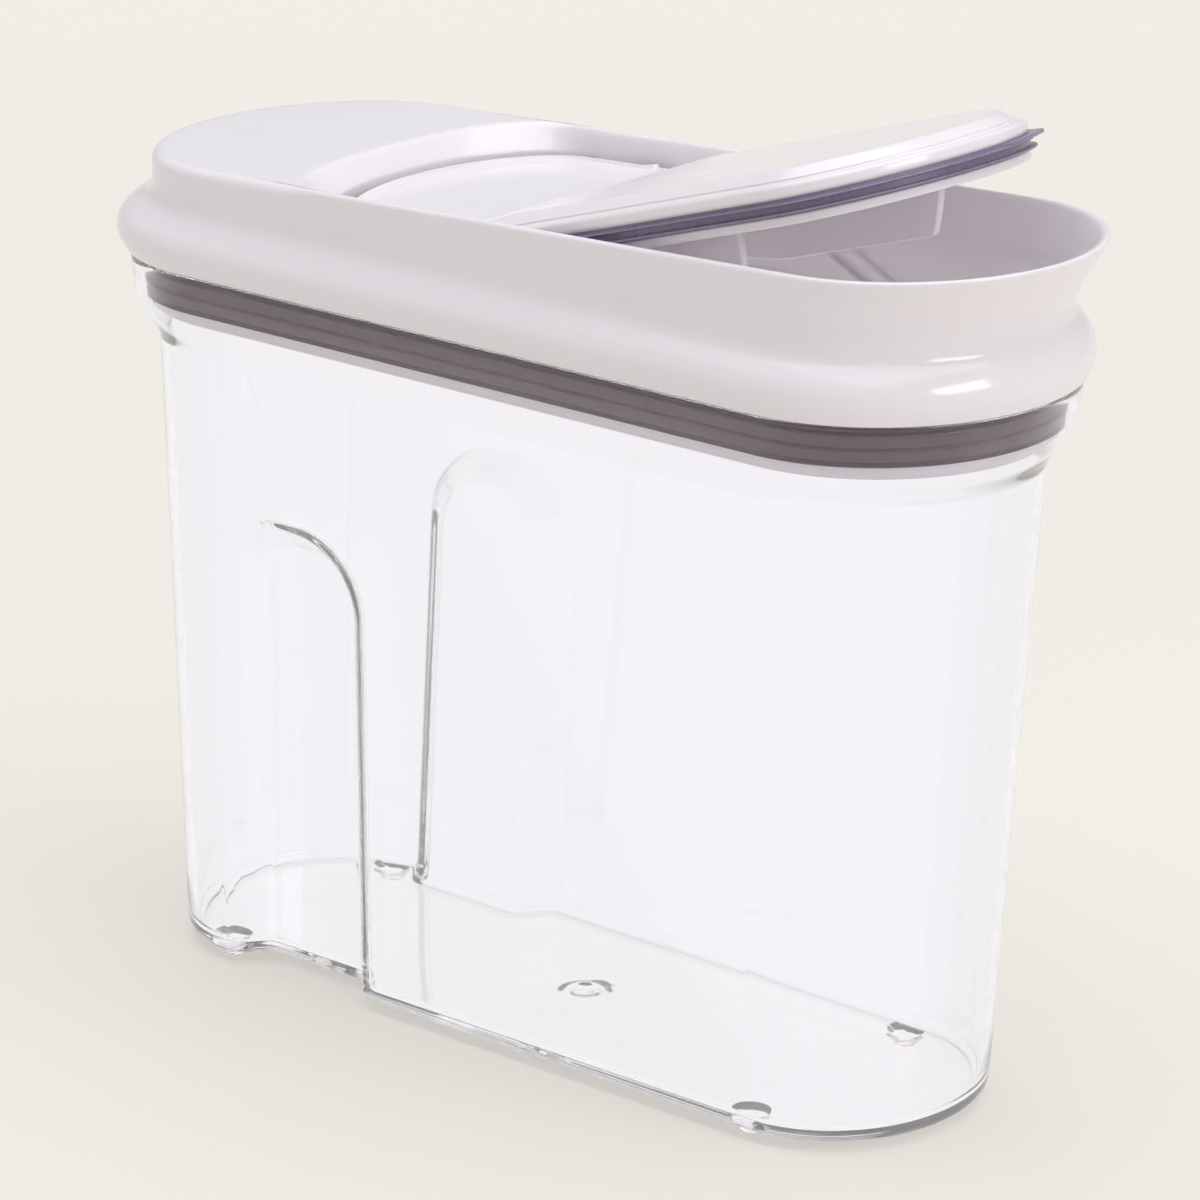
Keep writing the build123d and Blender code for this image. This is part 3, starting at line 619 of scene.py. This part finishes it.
def build_flap_panel():
    """The flap's white shell: underside, edge, border, panel and dished pad, with its ears, pins and rib."""
    places = [(94.0, 5.0), (16.0, 1.0), (-1.0, 0.5), (-3.0, 1.0), (-12.0, 1.6), (-31.0, 3.0)]
    columns = Stadium(38, shares(96.0, 127.8, places))

    def row(inset, drop_of):
        x, _ = columns.outline(129.0 - inset, 58.6 - inset, 1.0, 34.0 - inset, 26.8 - inset)
        half = 45.5 + 2.3 * ease((x + 5.0) / 14.0) - inset
        return row_at(x, columns.side * half, flap_top(x) - drop_of(x))

    def bottom(x):
        return 6.0 + 0.8 * ease((x + 6.0) / 5.0)

    def border(x):
        return flap_step(x) + 0.5

    def dish(x):
        return 0.7 * ease((-5.0 - x) / 4.0)

    rows = [row(2.6, lambda x: 2.4), row(2.6, lambda x: bottom(x) - 0.5), row(2.2, bottom), row(0.5, bottom)]
    rows += [row(0.0, lambda x: bottom(x) - 0.5), row(0.0, lambda x: 0.5 * (bottom(x) + flap_step(x) + 1.7))]
    for a in np.radians(np.linspace(0, 90, 6)):
        inset, drop = PANEL_ROUND * (1 - math.cos(a)), PANEL_ROUND * (1 - math.sin(a))
        rows.append(row(inset, lambda x: border(x) + drop))
    for f in np.linspace(0, 1, 13)[1:]:
        rows.append(row(PANEL_ROUND + 5.8 * f, lambda x: border(x) * (1 - ease(f))))
    for f in np.linspace(0, 1, 6)[1:]:
        rows.append(row(7.0 + 2.6 * f, lambda x: dish(x) * ease(f)))
    grid = np.stack(rows)
    sheets = [across(columns, loop, np.linspace(0, 1, 25)) for loop in (grid[-1], grid[0])]
    pieces = [shell("flap_shell", columns, grid, sheets, sharp=45)]
    ear = [(PIVOT_X + 5.5, 224.0), (PIVOT_X - 5.5, 225.0)] + arc(PIVOT_X, PIVOT_Z, 5.5, 180, 360, 21)
    pin = arc(PIVOT_X, PIVOT_Z, 2.98, 0, 360, 33)[:-1]
    for side in (-1, 1):
        pieces.append(side_prism("ear", ear, side, 42.7, 45.5, 0.4))
        pieces.append(side_prism("pin", pin, side, 44.0, 50.6, 0.3))
    rib = [(4.2, 213.2), (4.4, BLADE_FOOT), (6.2, BLADE_FOOT), (6.4, 213.2), (6.4, 217.3), (4.2, 217.3)]
    pieces.append(ring("rib", blade_outline, rib))
    return swung(joined("flap_shell_whole", pieces))


def build_flap_seal():
    """The flap's finned seal with its pull tab."""
    root, inner = 1.9, 4.2
    profile = finned(root, inner, BLADE_FOOT, (213.5, 215.9), (0.3, 0.35))
    seal = ring("flap_seal_band", blade_outline, profile + [(root, BLADE_TOP), (inner, BLADE_TOP)])
    tongue = [(119.0, 6.0), (128.6, 8.0), (129.6, 12.0), (127.6, 21.0), (124.6, 29.5)]
    tongue += arc(118.6, 34.6, 3.6, 12, 74, 8) + [(115.0, 40.4), (108.0, 42.0)]
    return swung(joined("flap_seal", [seal, prism("pull_tab", tongue, "z", 215.9, 217.0, 0.4)]))


def build_retainer():
    """The plate under the flap, with the centre fin and the two side plates."""
    low = 210.5
    root = low + 0.4
    fin = [(40, root), (50, 199.7), (61, 197.9), (107.8, 197.9)] + arc(108.0, 199.9, 2.0, -80, -20, 6)
    fin += [(111.8, 203.2), (113.5, 207.4), (114.9, root)]
    web = [(24, root), (30, 200.5), (77.4, 200.5), (78.6, 201.5), (79.4, root)]
    pieces = [prism("plate", blade_outline(2.4), "z", low, BLADE_FOOT, 0.4)]
    pieces.append(prism("fin", fin, "y", -1.3, 1.3, 0.5))
    pieces += [side_prism("web", web, side, 36.7, 39.3, 0.5) for side in (-1, 1)]
    return swung(joined("retainer_plate", pieces))


# Materials
class Value:
    """A shader socket: adding to it or multiplying it adds a Math node."""

    def __init__(self, finish, socket):
        self.finish, self.socket = finish, socket

    def __add__(self, other):
        return self.finish.node("ShaderNodeMath", {"operation": "ADD"}, {0: self, 1: other})

    def __mul__(self, other):
        return self.finish.node("ShaderNodeMath", {"operation": "MULTIPLY"}, {0: self, 1: other})

    __radd__, __rmul__ = __add__, __mul__


class Finish:
    """A material built from nodes, on the object's own coordinates in metres."""

    def __init__(self, name):
        self.material = bpy.data.materials.new(name)
        self.material.use_nodes = True
        self.tree = self.material.node_tree
        self.tree.nodes.clear()
        self.shader = self.tree.nodes.new("ShaderNodeBsdfPrincipled")
        self.output = self.tree.nodes.new("ShaderNodeOutputMaterial")
        self.tree.links.new(self.shader.outputs[0], self.output.inputs[0])
        self.place = Value(self, self.tree.nodes.new("ShaderNodeTexCoord").outputs["Object"])

    def fill(self, socket, value):
        """Link a socket to a Value, or set it to a number or colour."""
        if isinstance(value, Value):
            self.tree.links.new(value.socket, socket)
        else:
            socket.default_value = value

    def node(self, kind, settings, inputs, output=0):
        """Any node: its settings first, then its sockets."""
        node = self.tree.nodes.new(kind)
        for key, value in settings.items():
            setattr(node, key, value)
        for key, value in inputs.items():
            self.fill(node.inputs[key], value)
        return Value(self, node.outputs[output])

    def set(self, **values):
        """The shader's sockets by name, with underscores for spaces."""
        for key, value in values.items():
            self.fill(self.shader.inputs[key.replace("_", " ")], value)

    def noise(self, scale, detail=3.0):
        return self.node("ShaderNodeTexNoise", {}, {"Vector": self.place, "Scale": scale, "Detail": detail})

    def mixed(self, factor, a, b):
        return self.node("ShaderNodeMix", {"data_type": "RGBA"}, {0: factor, 6: a, 7: b}, output=2)

    def bump(self, height, strength, distance):
        return self.node("ShaderNodeBump", {}, {"Height": height, "Strength": strength, "Distance": distance})


def scaled(tone, factor):
    """A colour made paler or darker by a factor."""
    return tuple(min(factor * c, 1.0) for c in tone[:3]) + (1.0,)


def white_plastic(name, tone):
    """Gloss moulded plastic: faint cloudy tone, a slow ripple in the gloss and a very fine orange peel."""
    finish = Finish(name)
    cloud = finish.noise(38.0)
    fine = finish.noise(950.0, 2.0)
    finish.set(Base_Color=finish.mixed(cloud, tone, scaled(tone, 0.975)))
    finish.set(Roughness=0.11 + 0.06 * finish.noise(70.0))
    finish.set(Normal=finish.bump(fine + 6.0 * finish.noise(120.0), 0.04, 0.0001))
    finish.set(IOR=1.6)
    return finish.material


def soft_seal(name, tone, rough):
    """Soft seal rubber with a satin gloss: tone and gloss vary faintly, with a fine grain."""
    finish = Finish(name)
    finish.set(Base_Color=finish.mixed(finish.noise(160.0), tone, scaled(tone, 1.25)))
    finish.set(Roughness=rough + 0.16 * finish.noise(300.0))
    finish.set(Normal=finish.bump(finish.noise(500.0, 1.0), 0.03, 0.00004))
    return finish.material


def clear_plastic(name):
    """Clear moulded plastic: refracting, with a slow ripple from the mould and a faint haze."""
    finish = Finish(name)
    finish.set(Transmission_Weight=1.0, IOR=1.45, Alpha=0.97)
    finish.set(Base_Color=(0.986, 0.974, 0.992, 1.0))
    finish.set(Roughness=0.012 + 0.02 * finish.noise(25.0))
    finish.set(Normal=finish.bump(finish.noise(16.0, 1.0), 0.08, 0.0003))
    return finish.material


# The object
tub = build_tub()
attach(tub, "container")
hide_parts("container_body")
tub.data.materials.append(clear_plastic("clear_wall"))

lid = build_lid_frame()
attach(lid, "lid")
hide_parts("lid_frame")
seal, plug = build_plug_parts()
for piece, node in ((seal, "lid_gasket"), (plug, "lid_plug_ring")):
    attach(piece, "lid")
    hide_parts(node)

panel = build_flap_panel()
flap_seal = build_flap_seal()
retainer = build_retainer()
for piece, node in ((panel, "flap_panel"), (flap_seal, "flap_gasket"), (retainer, "flap_retainer")):
    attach(piece, "flap")
    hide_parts(node)

white = white_plastic("lid_white", (0.905, 0.855, 0.885, 1.0))
for piece in (lid, plug, panel, retainer):
    piece.data.materials.append(white)
seal.data.materials.append(soft_seal("collar_rubber", (0.15, 0.095, 0.125, 1.0), rough=0.3))
flap_seal.data.materials.append(soft_seal("flap_rubber", (0.21, 0.185, 0.265, 1.0), rough=0.2))

# Colours of the floor and the world as lit, as seen and as seen through the tub, and the tint of the lamps
PAPER = (0.90, 0.85, 0.775, 1.0)
PAPER_SEEN, PAPER_THROUGH = (0.914, 0.889, 0.838, 1.0), (0.95, 0.953, 0.957, 1.0)
SKY, SKY_STRENGTH, SKY_SEEN = (0.925, 0.935, 0.965, 1.0), 0.55, (0.925, 0.918, 0.91, 1.0)
PALE = (0.965, 0.985, 1.0)

# Share of the floor that glows in its own colour, as (metres from the middle, share) near and far for the
# camera, and as one share in gloss and one through the tub
GLOW_NEAR, GLOW_FAR = (0.25, 0.45), (1.3, 0.87)
GLOW_IN_GLOSS, GLOW_THROUGH = 0.6, 0.86

# The camera, fitted to the photo: angles in degrees, the point looked at and its distance in metres, focal
# length and picture width in pixels, and the sensor's width in millimetres
AZIMUTH, ELEVATION, ROLL = 37.86, 18.82, 1.33
LOOK_AT, DISTANCE = (0.00434, 0.00103, 0.11695), 1.398
FOCAL, PICTURE, SENSOR = 5247.0, 1200.0, 36.0


def build_floor():
    """Paper floor that keeps the object's shadow. It glows in its own colour for the camera, less near the
    object, and in gloss and through the clear wall."""
    mesh = bpy.data.meshes.new("floor")
    mesh.from_pydata([(-9, -9, 0), (9, -9, 0), (9, 9, 0), (-9, 9, 0)], [], [(0, 1, 2, 3)])
    floor = placed("floor", mesh)
    finish = Finish("floor_paper")
    finish.set(Base_Color=PAPER, Roughness=0.9, Specular_IOR_Level=0.0)
    path = finish.tree.nodes.new("ShaderNodeLightPath")
    seen, shiny, through_it = [Value(finish, path.outputs[name])
                               for name in ("Is Camera Ray", "Is Glossy Ray", "Is Transmission Ray")]
    tint = finish.mixed(through_it, PAPER_SEEN, PAPER_THROUGH)
    glow = finish.node("ShaderNodeEmission", {}, {"Color": tint, "Strength": 1.0})
    far = finish.node("ShaderNodeVectorMath", {"operation": "LENGTH"}, {0: finish.place}, output=1)
    ends = {1: GLOW_NEAR[0], 2: GLOW_FAR[0], 3: GLOW_NEAR[1], 4: GLOW_FAR[1]}
    far = finish.node("ShaderNodeMapRange", {"interpolation_type": "SMOOTHSTEP"}, {0: far, **ends})
    share = seen * far + GLOW_IN_GLOSS * shiny + GLOW_THROUGH * through_it
    paper = Value(finish, finish.shader.outputs[0])
    mix = finish.node("ShaderNodeMixShader", {}, {0: share, 1: paper, 2: glow})
    finish.tree.links.new(mix.socket, finish.output.inputs[0])
    mesh.materials.append(finish.material)


def build_world():
    """Soft light from all round, with another colour for the camera and through the clear wall."""
    world = bpy.data.worlds.new("studio")
    bpy.context.scene.world = world
    world.use_nodes = True
    tree = world.node_tree
    back = tree.nodes["Background"]
    path = tree.nodes.new("ShaderNodeLightPath")
    seen = tree.nodes.new("ShaderNodeBackground")
    seen.inputs[0].default_value = SKY_SEEN
    back.inputs[0].default_value = SKY
    back.inputs[1].default_value = SKY_STRENGTH
    either = tree.nodes.new("ShaderNodeMath")
    either.operation = "MAXIMUM"
    tree.links.new(path.outputs["Is Camera Ray"], either.inputs[0])
    tree.links.new(path.outputs["Is Transmission Ray"], either.inputs[1])
    mix = tree.nodes.new("ShaderNodeMixShader")
    for i, node in enumerate((either, back, seen)):
        tree.links.new(node.outputs[0], mix.inputs[i])
    tree.links.new(mix.outputs[0], tree.nodes["World Output"].inputs[0])


def softbox(name, place, target, size, power):
    """Area lamp of this size in metres and power in watts, turned to a target."""
    lamp = bpy.data.lights.new(name, "AREA")
    lamp.shape = "RECTANGLE"
    lamp.size, lamp.size_y = size
    lamp.energy = power
    lamp.color = PALE
    obj = placed(name, lamp)
    obj.location = place
    obj.rotation_euler = (Vector(target) - Vector(place)).to_track_quat("-Z", "Y").to_euler()


def build_camera():
    """The photo's camera, from its angles round the point that it looks at."""
    azimuth, elevation, roll = math.radians(AZIMUTH), math.radians(ELEVATION), math.radians(ROLL)
    flat = math.cos(elevation)
    back = np.array([math.sin(azimuth) * flat, -math.cos(azimuth) * flat, math.sin(elevation)])
    right = np.array([math.cos(azimuth), math.sin(azimuth), 0.0])
    up = np.cross(back, right)
    camera = bpy.data.cameras.new("camera")
    camera.sensor_width = SENSOR
    camera.lens = FOCAL / PICTURE * SENSOR
    camera.clip_end = 60.0
    obj = placed("camera", camera)
    matrix = np.eye(4)
    matrix[:3, 0] = right * math.cos(roll) + up * math.sin(roll)
    matrix[:3, 1] = -right * math.sin(roll) + up * math.cos(roll)
    matrix[:3, 2] = back
    matrix[:3, 3] = np.array(LOOK_AT) + DISTANCE * back
    obj.matrix_world = Matrix(matrix.tolist())
    bpy.context.scene.camera = obj


# Floor, light and camera
build_floor()
build_world()
softbox("top_box", (0.0, 0.0, 1.5), (0, 0, 0.15), (2.0, 1.6), 13.5)
softbox("key_box", (1.5, 0.1, 0.9), (0.05, 0, 0.15), (0.75, 0.45), 5.2)
softbox("fill_box", (-1.1, -1.5, 0.7), (0, 0, 0.15), (1.0, 0.9), 0.8)
build_camera()
scene = bpy.context.scene
scene.view_settings.view_transform = "Standard"
scene.cycles.max_bounces = scene.cycles.transmission_bounces = 16
scene.cycles.diffuse_bounces = scene.cycles.glossy_bounces = 10
